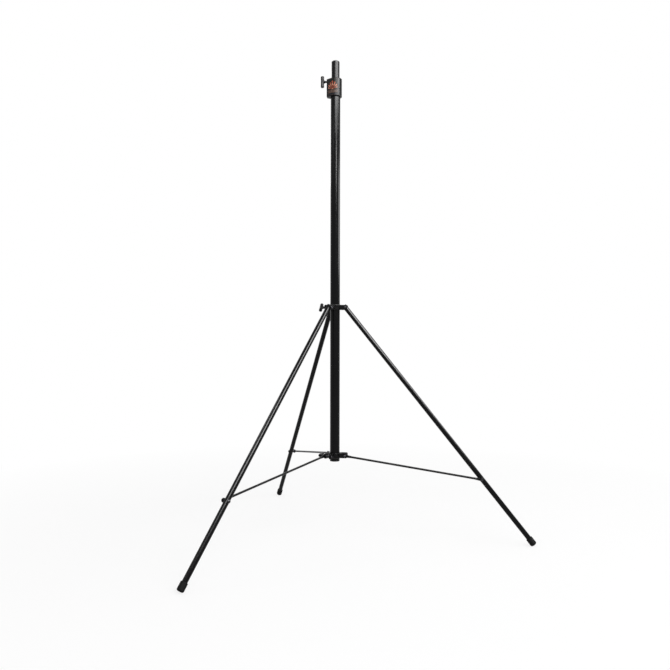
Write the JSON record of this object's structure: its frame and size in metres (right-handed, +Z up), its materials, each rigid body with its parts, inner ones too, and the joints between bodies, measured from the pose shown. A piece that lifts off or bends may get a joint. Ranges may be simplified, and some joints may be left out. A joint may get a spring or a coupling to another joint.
{
  "type": "tripod lighting stand",
  "caption": "Tall tripod lighting stand: telescoping riser in a mast, folding tube legs on a sliding collar, brace rods on a lower collar, tee-screw locks.",
  "frame": {"origin": "point of the floor under the mast's axis, legs spread", "axes": "+Z up along the mast; +X towards leg 1; the head's tee screw points along -X and its label faces -Y"},
  "size_m": [1.161, 1.3368, 1.8767],
  "materials": {
    "black_enamel_tube": "gloss",
    "black_casting": "satin",
    "black_tee": "gloss",
    "zinc_steel": "satin",
    "black_moulding": "satin",
    "nylon": "matte",
    "black_rubber": "matte",
    "printed_label": "gloss"
  },
  "bodies": {
    "mast": {"mast_tube": "black_enamel_tube", "mast_end_plug": "black_moulding", "head_casting": "black_casting", "head_grub_screws": "zinc_steel", "head_label": "printed_label", "guide_bush": "nylon", "brace_collar": "black_casting", "brace_collar_liner": "nylon", "brace_pivot_bolts": "zinc_steel", "brace_pivot_nuts": "zinc_steel", "brace_pivot_spacers": "zinc_steel"},
    "riser_glide": {"riser_glide": "nylon"},
    "riser": {"riser_tube": "black_enamel_tube", "riser_cap": "black_moulding"},
    "leg_collar": {"leg_collar": "black_casting", "leg_collar_liner": "nylon", "leg_pivot_bolts": "zinc_steel", "leg_pivot_nuts": "zinc_steel"},
    "leg_1": {"leg_tube_1": "black_enamel_tube", "leg_top_plug_1": "black_moulding", "leg_foot_1": "black_rubber", "leg_barrel_nut_1": "zinc_steel"},
    "brace_1": {"brace_rod_1": "black_enamel_tube", "brace_screw_1": "zinc_steel", "brace_spacer_1": "zinc_steel"},
    "leg_2": {"leg_tube_2": "black_enamel_tube", "leg_top_plug_2": "black_moulding", "leg_foot_2": "black_rubber", "leg_barrel_nut_2": "zinc_steel"},
    "brace_2": {"brace_rod_2": "black_enamel_tube", "brace_screw_2": "zinc_steel", "brace_spacer_2": "zinc_steel"},
    "leg_3": {"leg_tube_3": "black_enamel_tube", "leg_top_plug_3": "black_moulding", "leg_foot_3": "black_rubber", "leg_barrel_nut_3": "zinc_steel"},
    "brace_3": {"brace_rod_3": "black_enamel_tube", "brace_screw_3": "zinc_steel", "brace_spacer_3": "zinc_steel"},
    "head_pad": {"head_lock_pad": "nylon"},
    "head_screw": {"head_lock_stud": "zinc_steel", "head_lock_tee": "black_tee"},
    "leg_collar_pad": {"leg_collar_lock_pad": "nylon"},
    "leg_collar_screw": {"leg_collar_lock_stud": "zinc_steel", "leg_collar_lock_tee": "black_tee"},
    "brace_collar_pad": {"brace_collar_lock_pad": "nylon"},
    "brace_collar_screw": {"brace_collar_lock_stud": "zinc_steel", "brace_collar_lock_tee": "black_tee"}
  },
  "joints": [
    {"name": "riser_slide", "type": "slide", "parent": "mast", "child": "riser_glide", "axis": [0, 0, 1], "range_m": [0, 1.154]},
    {"name": "riser_swivel", "type": "hinge", "parent": "riser_glide", "child": "riser", "pos_m": [0, 0, 1.87275], "axis": [0, 0, 1], "continuous": true},
    {"name": "leg_collar_slide", "type": "slide", "parent": "mast", "child": "leg_collar", "axis": [0, 0, 1], "range_m": [0, 0.79181]},
    {"name": "leg_1_fold", "type": "hinge", "parent": "leg_collar", "child": "leg_1", "pos_m": [0.04155, 0, 0.90498], "axis": [0, 1, 0], "range_deg": [0, 38.7]},
    {"name": "brace_1_fold", "type": "hinge", "parent": "mast", "child": "brace_1", "pos_m": [0.04155, 0, 0.323], "axis": [0, -1, 0], "range_deg": [0, 98.12]},
    {"name": "leg_2_fold", "type": "hinge", "parent": "leg_collar", "child": "leg_2", "pos_m": [-0.02078, 0.03599, 0.90498], "axis": [-0.866, -0.5, 0], "range_deg": [0, 38.7]},
    {"name": "brace_2_fold", "type": "hinge", "parent": "mast", "child": "brace_2", "pos_m": [-0.02078, 0.03599, 0.323], "axis": [0.866, 0.5, 0], "range_deg": [0, 98.12]},
    {"name": "leg_3_fold", "type": "hinge", "parent": "leg_collar", "child": "leg_3", "pos_m": [-0.02078, -0.03599, 0.90498], "axis": [0.866, -0.5, 0], "range_deg": [0, 38.7]},
    {"name": "brace_3_fold", "type": "hinge", "parent": "mast", "child": "brace_3", "pos_m": [-0.02078, -0.03599, 0.323], "axis": [-0.866, 0.5, 0], "range_deg": [0, 98.12]},
    {"name": "head_pad_travel", "type": "slide", "parent": "mast", "child": "head_pad", "axis": [-1, 0, 0], "range_m": [0, 0.00187]},
    {"name": "head_screw_turn", "type": "hinge", "parent": "head_pad", "child": "head_screw", "pos_m": [-0.05, 0, 1.79775], "axis": [-1, 0, 0], "range_deg": [0, 540]},
    {"name": "leg_collar_pad_travel", "type": "slide", "parent": "leg_collar", "child": "leg_collar_pad", "axis": [-1, 0, 0], "range_m": [0, 0.00187]},
    {"name": "leg_collar_screw_turn", "type": "hinge", "parent": "leg_collar_pad", "child": "leg_collar_screw", "pos_m": [-0.05, 0, 0.90498], "axis": [-1, 0, 0], "range_deg": [0, 540]},
    {"name": "brace_collar_pad_travel", "type": "slide", "parent": "mast", "child": "brace_collar_pad", "axis": [-1, 0, 0], "range_m": [0, 0.00187]},
    {"name": "brace_collar_screw_turn", "type": "hinge", "parent": "brace_collar_pad", "child": "brace_collar_screw", "pos_m": [-0.05, 0, 0.323], "axis": [-1, 0, 0], "range_deg": [0, 540]}
  ],
  "couplings": [
    {"joint": "leg_1_fold", "follows": "leg_collar_slide", "rad_per_m": 0.85304},
    {"joint": "brace_1_fold", "follows": "leg_collar_slide", "rad_per_m": 2.1629},
    {"joint": "leg_2_fold", "follows": "leg_collar_slide", "rad_per_m": 0.85304},
    {"joint": "brace_2_fold", "follows": "leg_collar_slide", "rad_per_m": 2.1629},
    {"joint": "leg_3_fold", "follows": "leg_collar_slide", "rad_per_m": 0.85304},
    {"joint": "brace_3_fold", "follows": "leg_collar_slide", "rad_per_m": 2.1629},
    {"joint": "head_screw_turn", "follows": "head_pad_travel", "rad_per_m": 5026.5},
    {"joint": "leg_collar_screw_turn", "follows": "leg_collar_pad_travel", "rad_per_m": 5026.5},
    {"joint": "brace_collar_screw_turn", "follows": "brace_collar_pad_travel", "rad_per_m": 5026.5}
  ]
}
